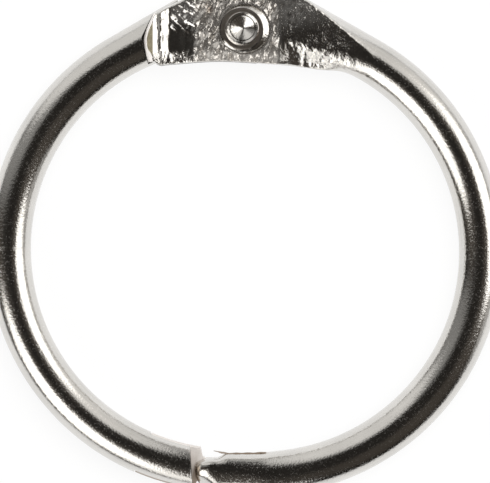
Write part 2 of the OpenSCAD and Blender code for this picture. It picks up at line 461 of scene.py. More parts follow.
def plate_sections(place):
    """The plate's points, ring by ring, before its free end is shaped, and the share of the
    plate's width at which each lies."""
    around = np.arange(AROUND)
    f = np.minimum(around, AROUND - around) / (AROUND / 2)
    side = np.where(around <= AROUND / 2, 1.0, -1.0)
    outer, inner = ends_of_sections(place)
    width = np.linalg.norm(inner - outer, axis=1)
    # past the run-out w goes on from 1, by 1 for each 5 mm, and the inner roll gets smaller
    w = np.clip(place, 0, 1) + np.clip((TOP_RIGHT_X - outer[:, 0]) / 5, 0, 1)
    grid_w, grid_f = np.meshgrid(w, f, indexing="ij")
    t, z = pressed_section(grid_w, width[:, None] * np.ones_like(grid_f), grid_f)
    z = z * side
    easing = ramp(w, 0.02, 0.3)[:, None]
    for _ in range(3):
        t = mix(t, (np.roll(t, 1, 1) + 2 * t + np.roll(t, -1, 1)) / 4, easing)
        z = mix(z, (np.roll(z, 1, 1) + 2 * z + np.roll(z, -1, 1)) / 4, easing)
    share = t / width[:, None]
    x = mix(outer[:, :1], inner[:, :1], share)
    y = mix(outer[:, 1:], inner[:, 1:], share)
    return x, y, z, share


def shape_free_end(x, y, z, share, place):
    """Brings the last rings to the free end, with its bevel and its round edge."""
    into_end = np.clip(place - 2, 0, 1)
    lift_of_corner = 0.12 * into_end ** 2 * ramp(y, 11.75, 11.0)
    y = y + lift_of_corner
    edge = end_edge(y)

    def too_far(y):
        """How far the straight rings would stand past the free end, with a little room."""
        return np.maximum(free_end_x(y) + edge + 0.03 - BEVEL_X, 0)

    # the last straight rings give way, and their points at the top follow the top edge
    last = ramp(x, -4.6, BEVEL_X) * (place >= 1)
    y = y + last * ramp(share, 0.25, 0) * TOP_SLOPE * too_far(y)
    x = x + last * too_far(y)
    x = mix(x, free_end_x(y) + edge, into_end)
    drop = BEVEL_SLOPE * np.maximum(BEVEL_X - x, 0)
    z = z * (CHEEK_Z - drop) / CHEEK_Z
    # the edge turns over a quarter round, and the last rings close the end
    turn = np.clip((place - 3) / 0.8, 0, 1) * np.pi / 2
    closing = np.clip((place - 3.8) / 0.2, 0, 1)
    z = z * (1 - END_DROP * (1 - np.cos(turn))) * (1 - closing)
    return x - edge * np.sin(turn), y, z


def end_of_wire():
    """Where the round wire ends, which way is out from its arc's centre, and which way the
    wire goes on."""
    out = np.array((*polar((0, 0), 1, ROUND_DEG), 0))
    return np.array(on_arc(FORK_C, ROUND_DEG)), out, np.array((-out[1], out[0], 0))


def press(obj):
    """Moves the straight run of wire behind the arc to the shape of the pressed plate."""
    co = points(obj)
    start, out, onwards = end_of_wire()
    along = (co - start) @ onwards
    across = (co - start) @ out
    straight = (along > -1e-4) & (np.abs(across) < 2 * WIRE_R) & (co[:, 1] > 0)
    ring = np.rint(along[straight] / RING_STEP).astype(int)
    turn = np.arctan2(co[straight, 2], across[straight])
    point = np.rint(turn / (2 * np.pi / AROUND)).astype(int) % AROUND
    place = places_of_rings()
    x, y, z, share = plate_sections(place)
    x, y, z = shape_free_end(x, y, z, share, place[:, None])
    z = z + face_relief(x, y, z)
    co[straight] = np.stack([x, y, z], 2)[ring, point]
    move_points(obj, co)


# ------------------------------------------------- marks of the press on the face
def land_edges(x, y):
    """Where the first land ends and where the second starts and ends, across the plate.
    They spread out towards the plate's lower edge and close up at its top."""
    high, low = ramp(y, 12.9, 13.6), ramp(y, 11.9, 11.4)
    sway = 0.04 * grain(x * 0 + 3, y, 1, 0.7, 4.0)
    return (-5.15 - 0.06 * high + 0.12 * low - sway, -5.06 + 0.02 * high + 0.13 * low - sway,
            -4.5 + 0.02 * high + 0.2 * low - sway)


def two_lands(x, y):
    """Two lands at the free end that fall away to the right, with a step between them."""
    first_end, second_start, second_end = land_edges(x, y)
    first = -0.165 * share_of(x, BEVEL_X, first_end)
    step = 0.12 * share_of(x, first_end, second_start)
    second = -0.22 * share_of(x, second_start, second_end)
    return first + step + second + 0.265 * share_of(x, second_end + 0.6, -2.2)


def swaged_field(x, y):
    """Crumpled and folded metal where the rivet was set, except under its head."""
    field = zone(x, -3.2, -2.7, 1.6, 2.1)
    clear_of_head = ramp(np.hypot(x - RIVET[0] - SKIRT_ASIDE[0], y - RIVET[1]), 1.5, 1.8)
    crumpled = 0.23 * grain(x - 0.4 * y, y, 0.42, 0.9, 1.0)
    fine_folds = 0.09 * grain(x - 0.3 * y, y, 0.2, 0.5, 2.0)
    combed = 0.05 * grain(x, y, 0.13, 0.7, 9.5) * ramp(y, 12.1, 11.6)
    return field * (clear_of_head * (crumpled + fine_folds) + combed)


def marks_on_the_left(x, y):
    """Slanting scratches at the top, combed metal at the bottom, and a fold at the edge of
    the swaged field."""
    upper_left = zone(x, -4.55, -4.3, -3.1, -2.6) * ramp(y, 12.8, 13.25)
    diagonal = np.sin((x * 0.78 + y) * 11 + 1.7 * grain(x, y, 0.8, 0.8, 6.0))
    scratches = 0.055 * np.maximum(diagonal, 0) ** 4 + 0.045 * grain(x, y, 0.3, 0.3, 6.5)
    lower_left = zone(x, -5.1, -4.8, -2.6, -2.2) * ramp(y, 12.0, 11.45)
    combed = 0.1 * grain(x, y, 0.17, 1.0, 7.0)
    off_fold = x + 2.91 - 0.3 * (y - 11.18)
    fold = 0.045 * np.exp(-(off_fold / 0.09) ** 2) * zone(y, 11.2, 11.5, 12.5, 12.9)
    return scratches * upper_left + combed * lower_left + fold


def chatter_on_the_right(x, y):
    """Fine chatter of the tool, in patches."""
    in_patches = ramp(grain(x, y, 1.0, 1.0, 9.2) + 0.15 * (x - 3.6), -0.15, 0.3)
    right = ramp(x, 1.8, 2.6) * ramp(x, 6.8, 5.6)
    return 0.038 * grain(x, y, 0.17, 0.26, 9.0) * right * (0.35 + 0.65 * in_patches)


def tool_arc(x, y):
    """Thin arc that the riveting tool left beside the head."""
    rise = y - RIVET[1]
    off_arc = x - RIVET[0] - 1.8 + 0.25 * (rise - 0.5) ** 2
    return 0.025 * np.exp(-(off_arc / 0.04) ** 2) * zone(rise, 0.4, 0.6, 1.3, 1.5)


def dent(x, y):
    """Ragged dent at the lower edge, where the plate runs out into the wire."""
    ragged = 0.16 * grain(x, y, 0.3, 0.4, 8.0, 3)
    below = np.maximum(12.4 - 0.4 * (x - 2.85) - y + ragged, 0)
    steep = 0.24 + 0.1 * np.clip(5.0 - x, 0, 2.0)
    deepest = 0.55
    return -deepest * np.tanh(steep * below / deepest) * ramp(x, 1.9, 3.3) * ramp(x, 6.3, 5.2)


def face_relief(x, y, z):
    """All that the press leaves on the front face."""
    on_face = ramp(z, 0.6, 1.1) * ramp(x, 7.3, 6.0)
    smooth = zone(x, -5.7, -5.5, -3.3, -3.0) * ramp(y, 11.5, 11.9)
    grit = 0.012 * grain(x, y, 0.2, 0.24, 3.0) * (1 - 0.7 * smooth)
    streaks = 0.01 * grain(x, y, 0.17, 1.4, 2.5)
    marks = (two_lands(x, y) + swaged_field(x, y) + marks_on_the_left(x, y)
             + chatter_on_the_right(x, y) + tool_arc(x, y) + grit + streaks)
    return on_face * marks + dent(x, y) * ramp(z, 0, 1.2)


# ---------------------------------------------------------------- fork half
def draw_tail():
    """Draws the tail straight on, then in over its crowned end with a tighter lip."""
    turn = math.radians(CROWN_DEG)
    crown_x = TAIL_TIP + LIP_R * (1 - math.sin(turn)) + CROWN_R * math.sin(turn)
    steps = 16
    bpy.ops.mesh.extrude_repeat(steps=steps, offset=((crown_x - FORK_C[0]) / steps, 0, 0))
    crown = [(CROWN_R, CROWN_DEG * i / 7) for i in range(1, 8)]
    lip = [(LIP_R, CROWN_DEG + (90 - CROWN_DEG) * i / 6) for i in range(1, 7)]
    x, r, last = crown_x, WIRE_R, 0.0
    for bend_r, deg in crown + lip:
        a, b = math.radians(last), math.radians(deg)
        new_x = x - bend_r * (math.sin(b) - math.sin(a))
        new_r = r - bend_r * (math.cos(a) - math.cos(b))
        draw_out((new_x - x, 0, 0), (1, new_r / r, new_r / r), (new_x, TAIL_Y, 0))
        x, r, last = new_x, new_r, deg
    for smaller in (0.66, 0.5):
        draw_out((0, 0, 0), (1, smaller, smaller), (x, TAIL_Y, 0))
    bpy.ops.mesh.merge(type="CENTER")


def squeeze_tail(obj):
    """The shear squeezes the tail's inner side and leaves its tip rounder in plan."""
    co = points(obj)
    tail = (co[:, 0] < 1.8) & (co[:, 1] < -8)
    x, y, z = co[tail].T
    middle = np.where(x < FORK_C[0], TAIL_Y,
                      FORK_C[1] - np.sqrt(ARC_R ** 2 - (np.maximum(x, FORK_C[0]) - FORK_C[0]) ** 2))
    lean = np.interp(x, [-2.2, -1.4, -0.3, 1.2], [0.38, 0.32, 0.2, 0])
    keep = np.interp(x, [-1.6, -1.2, 0.8, 1.8], [0.58, 0.86, 0.9, 1.0])
    v = (y - middle) / WIRE_R
    v = v + lean * (z / WIRE_R) ** 2 / WIRE_R
    v = np.where(v > 0.4, 0.4 + (v - 0.4) * keep, v)
    z = z * (1 - 0.35 * ramp(v, 0.0, -0.7) * ramp(x, -1.7, -2.8))
    x = x + 0.34 * (v * WIRE_R - 0.3) ** 2 * ramp(x, -0.9, -3.2)
    co[tail] = np.stack([x, middle + v * WIRE_R, z], 1)
    move_points(obj, co)


def flash():
    """Thin flash that the shear leaves along the tail's inner side, bent inwards at its
    end."""
    let_go()
    bpy.ops.mesh.primitive_grid_add(x_subdivisions=26, y_subdivisions=1, size=2)
    obj = started("flash_tool")
    co = points(obj)
    along = mix(FLASH_FROM, FLASH_TO, (co[:, 0] + 1) / 2)
    middle = np.interp(along, [FLASH_FROM, -1.6, -1.4, -1.0, 0.5, FLASH_TO],
                       [-11.9, -11.93, -12.0, -12.06, -12.04, -11.98])
    middle += 0.012 * np.sin(9 * along)
    half = np.interp(along, [FLASH_FROM, -1.6, -1.4, -1.1, 0.5, FLASH_TO],
                     [0.02, 0.03, 0.06, 0.05, 0.05, 0.03])
    move_points(obj, np.stack([along, middle + co[:, 1] * half, co[:, 2] + FLASH_Z], 1))
    open_all(obj)
    bpy.ops.mesh.extrude_region_move(TRANSFORM_OT_translate={"value": (0, 0, FLASH_T)})
    let_go()
    tidy_up(obj)
    return obj


def blade():
    """Blade that the tail carries into the other half's slot: the wire, pressed flat."""
    obj = ring_of_wire("blade_tool", TONGUE_C, TIP_DEG, 48)
    centre = np.array(on_arc(TONGUE_C, TIP_DEG))
    move_points(obj, centre + (points(obj) - centre) * (BLADE_W / 2 / WIRE_R))
    open_all(obj)
    bpy.ops.mesh.edge_face_add()
    for side in (-1, 1):
        bpy.ops.mesh.select_all(action="SELECT")
        bpy.ops.mesh.bisect(plane_co=(0, 0, side * BLADE_T / 2), plane_no=(0, 0, side),
                            clear_outer=True)
    bpy.ops.mesh.select_all(action="SELECT")
    bpy.ops.mesh.extrude_region_move()
    sweep(TONGUE_C, NECK_DEG - TIP_DEG, 24)
    let_go()
    # its neck is narrower than the wire, and runs into the rounded tail
    x, y, _ = points(obj).T
    deg = np.degrees(np.arctan2(y - TONGUE_C[1], x - TONGUE_C[0])) % 360
    open_with(obj, np.abs(deg - NECK_DEG) < 0.02)
    middle = Vector(on_arc(TONGUE_C, NECK_DEG))
    draw_out((0.12, -0.1, 0), (1, 0.62, 1), middle)
    draw_out((0.5, -0.15, 0), (1, 0.6, 1), middle)
    let_go()
    tidy_up(obj)
    return obj


def cheek_slot_tool():
    """Gap between the cheeks, with a round root, open at the free end and at the top."""
    half = SLOT_T / 2
    x, y = RIVET
    past_end, past_edge = x - 9, y + 4
    tool = disc("slot_tool", SLOT_ROOT, SLOT_T)
    join_in(tool, box("left", (past_end, y - 4, -half), (x, past_edge, half)), "UNION")
    join_in(tool, box("top", (x - 1, y, -half), (x + SLOT_ROOT, past_edge, half)), "UNION")
    return tool


def cheek_bore_tool():
    """Bore for the shank, with the dish that the head was set in."""
    dish = [(SKIRT_R + 0.015, SEAT_Z), (SKIRT_R + 0.015, 1.27), (SKIRT_R + 0.05, 1.32),
            (SKIRT_R + 0.05, 1.7)]
    return turned("bore_tool", [(CHEEK_BORE_R, -2.0), (CHEEK_BORE_R, SEAT_Z)] + dish, 128,
                  [(0, 0)] * 2 + [SKIRT_ASIDE] * 4)


def fork_half():
    """Half ring that ends in the pressed plate at the hinge and in the blade at the closure."""
    obj = ring_of_wire("fork_half_plated", FORK_C, ROUND_DEG, AROUND)
    open_all(obj)
    sweep(FORK_C, -(90 + ROUND_DEG), ARC_STEPS)
    draw_tail()
    let_go()
    squeeze_tail(obj)
    # the end that is pressed: drawn on straight first
    co = points(obj)
    start, _, onwards = end_of_wire()
    open_with(obj, (np.abs((co - start) @ onwards) < 1e-4) & (co[:, 1] > 0))
    bpy.ops.mesh.extrude_repeat(steps=PLATE_RINGS, offset=tuple(onwards * RING_STEP))
    let_go()
    press(obj)
    tidy_up(obj, 2e-4)
    join_in(obj, blade(), "UNION")
    join_in(obj, flash(), "UNION")
    join_in(obj, cheek_slot_tool(), "DIFFERENCE")
    join_in(obj, cheek_bore_tool(), "DIFFERENCE")
    return obj


# -------------------------------------------------------------- tongue half
def straighten_outer_side(obj):
    """The wire's outer side runs straight towards the hinge, and its inner side stays."""
    co = points(obj)
    dx, dy = co[:, 0] - TONGUE_C[0], co[:, 1] - TONGUE_C[1]
    deg = np.degrees(np.arctan2(dy, dx)) % 360
    r = np.hypot(dx, dy)
    past_flare = np.radians(np.clip(FLARE_DEG - deg, 0, 30))
    straight = (ARC_R + WIRE_R) * (1 / np.cos(past_flare) - 1)
    new_r = r + straight * np.clip(((r - ARC_R) / WIRE_R + 1) / 2, 0, 1)
    co[:, 0] = TONGUE_C[0] + dx * new_r / r
    co[:, 1] = TONGUE_C[1] + dy * new_r / r
    move_points(obj, co)


def relief_tool(side):
    """What the press clears on one face round the rivet, with a sloped shoulder."""
    foot = side * TONGUE_T / 2
    tool = turned("relief_tool", [(SHOULDER_R, foot), (SHOULDER_R, foot + side * 0.2),
                                  (SHOULDER_TOP_R, side * 1.36), (SHOULDER_TOP_R, side * 2.4)], 160)
    open_all(tool)
    slant = Vector((CORNER[0] - NOSE[0], CORNER[1] - NOSE[1], 0)).normalized()
    left = Vector((-slant.y, slant.x, 0))
    bpy.ops.mesh.bisect(plane_co=Vector((*NOSE, 0)) + 0.04 * left, plane_no=left,
                        use_fill=True, clear_outer=True)
    let_go()
    tidy_up(tool)
    return tool


def eye_and_neck():
    """Flat round eye, and the neck that narrows from it to the wire."""
    eye = disc("eye_tool", EYE_R, TONGUE_T)
    root, centre = Vector((*NECK_ROOT, 0)), Vector((*RIVET, 0))
    run = root - centre
    let_go()
    bpy.ops.mesh.primitive_cube_add(size=1, location=(root + centre) / 2,
                                    scale=(run.length, 2 * EYE_R, TONGUE_T),
                                    rotation=(0, 0, math.atan2(run.y, run.x)))
    neck = started("neck_tool")
    co = points(neck)
    far_end = (co - np.array(root)) @ np.array(run.normalized()) > -0.1
    co[far_end, :2] = NECK_ROOT + (co[far_end, :2] - NECK_ROOT) * (NECK_END_R / EYE_R)
    move_points(neck, co)
    join_in(eye, neck, "UNION")
    return eye


def cut_off(obj):
    """Cuts the half ring off at its closure."""
    open_all(obj)
    bpy.ops.mesh.bisect(plane_co=CUT_AT, plane_no=CUT_DIR, use_fill=True, clear_outer=False)
    let_go()
    co = points(obj)
    open_with(obj, ((co - CUT_AT) @ CUT_DIR > 1e-4) & (co[:, 1] < -5))
    bpy.ops.mesh.delete(type="VERT")
    let_go()
    tidy_up(obj)


def raise_burr(obj):
    """The shear leaves a thin lip round the cut end."""
    open_all(obj)
    for back in (0.04, 0.08, 0.16):
        bpy.ops.mesh.select_all(action="SELECT")
        bpy.ops.mesh.bisect(plane_co=CUT_AT - back * CUT_DIR, plane_no=CUT_DIR)
    let_go()
    co = points(obj)
    depth = (CUT_AT - co) @ CUT_DIR
    lip = (np.abs(depth) < 0.06) & (co[:, 1] < -5)
    middle_y = TONGUE_C[1] - math.sqrt(ARC_R ** 2 - (SEAM_X + TONGUE_C[0]) ** 2)
    out = co[lip] - (CUT_AT[0], middle_y, 0)
    out -= np.outer(out @ CUT_DIR, CUT_DIR)
    length = np.linalg.norm(out, axis=1, keepdims=True)
    co[lip] += 0.045 * out / np.maximum(length, 1e-6) * (length > 1.0)
    move_points(obj, co)


def blade_slot_tool():
    """Flat bar along the arc, wider than the wire, that starts outside the cut end."""
    from_deg = CUT_DEG + 5
    let_go()
    bpy.ops.mesh.primitive_plane_add(
        size=1, location=on_arc(TONGUE_C, from_deg),
        rotation=(math.pi / 2, 0, math.radians(from_deg)))
    bpy.context.active_object.scale = (4 * WIRE_R, BLADE_SLOT_T, 1)
    obj = started("blade_slot_tool")
    open_all(obj)
    bpy.ops.mesh.extrude_region_move()
    sweep(TONGUE_C, SLOT_END_DEG - from_deg, 20)
    let_go()
    tidy_up(obj)
    close_ends(obj)
    return obj


def tongue_half():
    """Half ring with the flat tongue at the hinge and the slot at the closure."""
    obj = ring_of_wire("tongue_half_plated", TONGUE_C, TONGUE_ROOT_DEG, 96)
    open_all(obj)
    bpy.ops.mesh.edge_face_add()
    sweep(TONGUE_C, CUT_DEG + 4 - TONGUE_ROOT_DEG, ARC_STEPS)
    let_go()
    straighten_outer_side(obj)
    close_ends(obj)
    join_in(obj, relief_tool(1), "DIFFERENCE")
    join_in(obj, relief_tool(-1), "DIFFERENCE")
    join_in(obj, eye_and_neck(), "UNION")
    join_in(obj, turned("eye_bore_tool", [(EYE_BORE_R, -1.5), (EYE_BORE_R, 1.5)], 96), "DIFFERENCE")
    cut_off(obj)
    raise_burr(obj)
    join_in(obj, blade_slot_tool(), "DIFFERENCE")
    return obj


# -------------------------------------------------------------------- rivet
def rivet():
    """Turned profile from the back head to the bottom of the dimple. The head was set a
    little out of line with the shank, and its crown a little out of line with the rim."""
    stem = [(1.06, -MID_Z), (1.14, -MID_Z + 0.01), (1.44, -MID_Z + 0.23), (1.49, -CHEEK_Z),
            (SHANK_R, -CHEEK_Z), (SHANK_R, SEAT_Z)]
    skirt = [(SKIRT_R - 0.01, SEAT_Z), (SKIRT_R, 1.205), (SKIRT_R - 0.005, 1.215), (1.365, 1.33)]
    rim = [(1.315, 1.39), (1.30, 1.40), (1.275, 1.402), (1.24, 1.404), (1.19, 1.406),
           (1.14, 1.408), (1.08, 1.408), (1.02, 1.405), (1.0, 1.41)]
    crown = [(0.98, 1.44), (0.965, 1.65), (0.95, 1.69), (0.93, 1.702), (0.91, 1.698),
             (0.785, 1.642), (0.775, 1.639), (0.725, 1.638)]
    dimple = [(0.715, 1.634), (0.5, 1.545), (0.3, 1.457), (0.12, 1.378), (0.05, 1.352),
              (0.015, 1.348)]
    stem_aside = [(0, 0)] * len(stem)
    skirt_aside = [SKIRT_ASIDE] * 3 + [(0.04, -0.04)]
    rim_aside = ([(-0.01, -0.05), (-0.02, -0.05), (-0.02, -0.05), (-0.005, -0.035)]
                 + [(0.01, -0.02)] * 3 + [(0.03, 0.01)] * 2)
    crown_aside = [(0.045, 0.035)] * 5 + [(0.055, 0.045)] * 3
    dimple_aside = [(0.06, 0.05), (0.075, 0.052), (0.09, 0.054), (0.105, 0.055),
                    (0.11, 0.055), (0.115, 0.055)]
    obj = turned("rivet_plated", stem + skirt + rim + crown + dimple, 96,
                 stem_aside + skirt_aside + rim_aside + crown_aside + dimple_aside)
    # the rim is set down on its lower left
    co = points(obj)
    x, y = co[:, 0] - RIVET[0] + 0.012, co[:, 1] - RIVET[1] + 0.05
    r = np.hypot(x, y)
    lower_left = ramp((-0.3 * x - 0.95 * y) / np.maximum(r, 0.01), 0.68, 0.85)
    set_down = zone(r, 1.13, 1.28, 1.28, 1.36) * (co[:, 2] > 1.38)
    co[:, 2] -= 0.055 * set_down * lower_left
    move_points(obj, co)
    return obj


# ------------------------------------------------------------- node helpers
def emptied_tree(owner):
    """The node tree of a material or the world, with nothing in it."""
    owner.use_nodes = True
    owner.node_tree.nodes.clear()
    return owner.node_tree


def fill(node, inputs):
    """Links an input to another node's output, or sets it to a number or a colour."""
    for name, value in inputs.items():
        if isinstance(value, bpy.types.NodeSocket):
            node.id_data.links.new(value, node.inputs[name])
        else:
            node.inputs[name].default_value = value
    return node


def new_node(tree, kind, inputs=None):
    """Adds a shader node of a kind, with its inputs filled."""
    return fill(tree.nodes.new("ShaderNode" + kind), inputs or {})


def maths(tree, operation, *values):
    """Result of a sum or another operation on one, two or three values."""
    node = tree.nodes.new("ShaderNodeMath")
    node.operation = operation
    return fill(node, dict(enumerate(values))).outputs["Value"]


def from_to(tree, value, low, high, to_low=0.0, to_high=1.0, steps="LINEAR"):
    """Moves a value from one range to another and stops at its ends."""
    node = tree.nodes.new("ShaderNodeMapRange")
    node.interpolation_type = steps
    fill(node, {"Value": value, "From Min": low, "From Max": high,
                "To Min": to_low, "To Max": to_high})
    return node.outputs["Result"]


def tint_mix(tree, blend, share, a, b):
    """Two colours, mixed or multiplied."""
    node = tree.nodes.new("ShaderNodeMix")
    node.data_type = "RGBA"
    node.blend_type = blend
    return fill(node, {"Factor": share, "A": a, "B": b}).outputs["Result"]


def of_points(tree, name):
    """A value that the points carry."""
    node = new_node(tree, "Attribute")
    node.attribute_name = name
    return node.outputs


def noise_of(tree, size, detail, place):
    """Cloudy pattern with spots of about the given size."""
    return new_node(tree, "TexNoise",
                    {"Vector": place, "Scale": 1 / size, "Detail": detail}).outputs["Fac"]


# ---------------------------------------------------------------- finishes
def nickel(name, tint, rough, grain_mm, lift, along=0.0, metal=1.0, speckle=0.3):
    """Nickel plate over steel, or bare steel: a mirror with a fine grain. rough is its
    roughness from clear to cloudy, grain_mm and lift are the grain's size and height, along
    is the share of drawing lines in it, metal how metallic it is where it isn't worn, and
    speckle the roughness of its pits. The points' own values wear it, dull it, make its grain
    coarser, and brown it, with stains and, on the blade, with painted shade."""
    mat = bpy.data.materials.new(name)
    tree = emptied_tree(mat)
    in_mm = new_node(tree, "VectorMath")
    in_mm.operation = "SCALE"
    fill(in_mm, {0: new_node(tree, "TexCoord").outputs["Object"], "Scale": 1 / MM})
    place = in_mm.outputs["Vector"]
    cloud = noise_of(tree, 2.2, 4, place)
    fine = noise_of(tree, grain_mm, 3, place)
    lines = noise_of(tree, 0.16, 2, of_points(tree, "drawn")["Vector"])

    clouded = new_node(tree, "ValToRGB", {"Fac": cloud})
    darker, full = clouded.color_ramp.elements
    darker.position, full.position = 0.3, 0.7
    darker.color = (*[c * 0.9 for c in tint], 1)
    full.color = (*tint, 1)
    streaked = tint_mix(tree, "MULTIPLY", 0.5 * along, clouded.outputs["Color"], lines)
    browned = tint_mix(tree, "MIX", of_points(tree, "stain_and_painted_shade")["Fac"], streaked, (*BROWN, 1))

    gloss = from_to(tree, cloud, 0.3, 0.75, *rough)
    pits = from_to(tree, noise_of(tree, 0.11, 1, place), 0.5, 0.72, 0.0, speckle)
    dull = maths(tree, "ADD", maths(tree, "ADD", gloss, pits), of_points(tree, "dull")["Fac"])

    heights = new_node(tree, "Mix", {"Factor": along, "A": fine, "B": lines}).outputs["Result"]
    bump = new_node(tree, "Bump", {"Strength": of_points(tree, "grit")["Fac"],
                                   "Distance": lift * MM, "Height": heights})
    skin = new_node(tree, "BsdfPrincipled", {
        "Base Color": browned,
        "Metallic": maths(tree, "MULTIPLY_ADD", of_points(tree, "worn")["Fac"], -metal, metal),
        "Roughness": dull,
        "Normal": bump.outputs["Normal"],
        "Coat Weight": 0.5,
        "Coat Roughness": 0.5})
    new_node(tree, "OutputMaterial", {"Surface": skin.outputs["BSDF"]})
    return mat


WARM_GREY = (0.78, 0.76, 0.725)
BROWN = (0.30, 0.23, 0.17)
wire_finish = nickel("nickel_on_wire", WARM_GREY, (0.08, 0.14), grain_mm=0.12, lift=0.05,
                     along=0.3, speckle=0.18)
pressed_finish = nickel("nickel_on_pressed_face", WARM_GREY, (0.09, 0.16), grain_mm=0.10,
                        lift=0.04, along=0.05, speckle=0.05)
rivet_finish = nickel("nickel_on_rivet", WARM_GREY, (0.10, 0.18), grain_mm=0.14, lift=0.05,
                      speckle=0.1)
# Worn rim of the plate's free end: near-white and hardly metallic, a painted highlight for its
# bright edge line.
rim_finish_painted_highlight = nickel("worn_rim_painted_highlight", (0.96, 0.92, 0.89), (0.4, 0.5), grain_mm=0.1,
                     lift=0.03, along=0.2, metal=0.1)
bare_finish = nickel("bare_steel_at_the_bevel", (0.62, 0.56, 0.40), (0.45, 0.55), grain_mm=0.08,
                     lift=0.03)
blade_finish = nickel("bare_steel_on_blade", (0.86, 0.81, 0.77), (0.45, 0.55), grain_mm=0.10,
                      lift=0.03, along=0.3, metal=0.35)

# Slots of the fork half's finishes
FORK_FINISHES = (wire_finish, pressed_finish, bare_finish, blade_finish, rim_finish_painted_highlight)
ON_WIRE, ON_FACE, ON_BEVEL, ON_BLADE, ON_RIM = range(len(FORK_FINISHES))
WIRE_GRIT = 0.27


def note(obj, name, values):
    """Stores a number or a place for each point, which the finish reads."""
    values = np.asarray(values, np.float32)
    number = values.ndim == 1
    layer = obj.data.attributes.new(name, "FLOAT" if number else "FLOAT_VECTOR", "POINT")
    layer.data.foreach_set("value" if number else "vector", values.ravel())


def drawn_marks(obj, c):
    """Where each point lies in the wire's section and along its length, for marks that
    follow the wire."""
    x, y, z = points(obj).T
    dx, dy = x - c[0], y - c[1]
    shortened = 0.05
    along = np.arctan2(dy, dx) * ARC_R * shortened
    note(obj, "drawn", np.stack([np.hypot(dx, dy) - ARC_R, z, along], 1))


def finish_faces_of_fork(obj):
    """The pressed face, the bare bevel, its worn rim, painted near-white as its highlight, and
    the bare blade have finishes of their own. The rest is plated wire."""
    for finish in FORK_FINISHES:
        obj.data.materials.append(finish)
    x, y, z = of_faces(obj, "center").T
    up_x, _, up_z = of_faces(obj, "normal").T
    on_face = (np.abs(up_z) > 0.75) & (y > 10.4) & (x < 7.0) & (np.abs(z) > 0.62)
    rim_x = free_end_x(np.clip(y, 10.5, 14.5)) + end_edge(y)
    on_rim = (x < rim_x) & (up_x < 0) & (y > 10.5) & (z > 0.3)
    on_bevel = (x < BEVEL_X) & (up_x < -0.3) & ~on_rim & (np.abs(up_z) > 0.7) & (y > 0)
    on_neck = (x < TAIL_TIP + 0.3) | ((x < -2.1) & (y > -12.45))
    on_flash = (x > -1.95) & (x < 1.3) & (y > -12.3) & (np.abs(z - FLASH_Z - FLASH_T / 2) < 0.05)
    on_blade = (y < -8) & ((on_neck & (np.abs(z) < 0.51)) | on_flash)
    kind = np.select([on_rim, on_bevel, on_face, on_blade],
                     [ON_RIM, ON_BEVEL, ON_FACE, ON_BLADE], ON_WIRE)
    obj.data.polygons.foreach_set("material_index", kind.astype(np.int32))


def note_wear_of_fork(obj):
    """Wear, dullness and grit of the fork half's points, and their brown: stains on the face and
    flash, and painted shade on the blade.
    """
    x, y, z = points(obj).T
    on_face = ramp(z, 0.5, 0.8) * (y > 9) * ramp(x, 8.0, 6.0)
    swaged = zone(x, -3.2, -2.7, 1.7, 2.3)
    smooth_left = zone(x, -5.6, -5.4, -3.3, -2.9) * ramp(y, 11.6, 12.0)
    top_right = ramp(x, 1.7, 2.3) * ramp(x, 6.0, 2.8) * ramp(y, 12.8, 14.0)
    top_left = zone(x, -4.6, -4.2, -3.2, -2.7) * ramp(y, 13.2, 13.8)
    mottle = 0.5 + 0.5 * grain(x, y, 0.18, 0.3, 11.0)
    first_end, second_start, _ = land_edges(x, y)
    on_step = zone(x, first_end - 0.04, first_end, second_start, second_start + 0.04)
    in_dent = ramp(x, 2.8, 3.8) * ramp(y, 12.2, 11.8)
    # Painted shade: the blade and its neck turn brown towards the ring's outer side.
    blade_shade = ramp(y, -12.35, -12.95) * (x < TAIL_TIP + 0.3) * (y < -8)
    dark_spot = np.exp(-((x + 2.08) / 0.22) ** 2 - ((y - 14.26) / 0.28) ** 2)
    on_flash = ((np.abs(z - FLASH_Z - FLASH_T / 2) < 0.045) * zone(x, -1.95, -1.9, 1.3, 1.35)
                * zone(y, -12.3, -12.25, -11.75, -11.7))
    note(obj, "worn", on_face * (swaged * (0.08 + 0.2 * ramp(y, 12.1, 11.5))
                                 + 0.13 * mottle * np.maximum(top_right, top_left)))
    note(obj, "dull", on_face * (0.08 * swaged + 0.3 * on_step))
    note(obj, "grit", mix(WIRE_GRIT, 0.6 - 0.52 * smooth_left - 0.1 * in_dent, on_face))
    # On the blade this brown is painted shade; elsewhere it stands for stains.
    note(obj, "stain_and_painted_shade", on_face * swaged * (0.22 + 0.6 * dark_spot) + 0.85 * blade_shade
         + on_flash * (0.8 + 0.15 * ramp(x, -1.0, -0.2)))


def note_wear_of_rivet(obj):
    """The groove between rim and crown is brown and dull, and the dimple a little dull."""
    x, y, z = points(obj).T
    r = np.hypot(x - RIVET[0], y - RIVET[1])
    in_groove = zone(r, 0.93, 1.0, 1.22, 1.3) * ramp(z, 1.66, 1.5) * (z > 1.39)
    note(obj, "grit", mix(0.3, 0.2, ramp(r, 0.98, 0.9)))
    note(obj, "stain_and_painted_shade", 0.6 * in_groove)
    note(obj, "dull", 0.22 * in_groove + 0.04 * ramp(r, 0.8, 0.7))


def finish_with(obj, body, node):
    """Says what the piece rides on, and hides the solid that it stands for."""
    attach(obj, body)
    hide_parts(node)


fork = fork_half()
finish_faces_of_fork(fork)
drawn_marks(fork, FORK_C)
note_wear_of_fork(fork)
settle(fork)

tongue = tongue_half()
tongue.data.materials.append(wire_finish)
drawn_marks(tongue, TONGUE_C)
note(tongue, "grit", np.full(len(tongue.data.vertices), WIRE_GRIT))
settle(tongue)

pin = rivet()
pin.data.materials.append(rivet_finish)
note_wear_of_rivet(pin)
settle(pin, 35)

finish_with(fork, "fork_half", "fork_half_ring")
finish_with(tongue, "tongue_half", "tongue_half_ring")
finish_with(pin, "fork_half", "hinge_rivet")


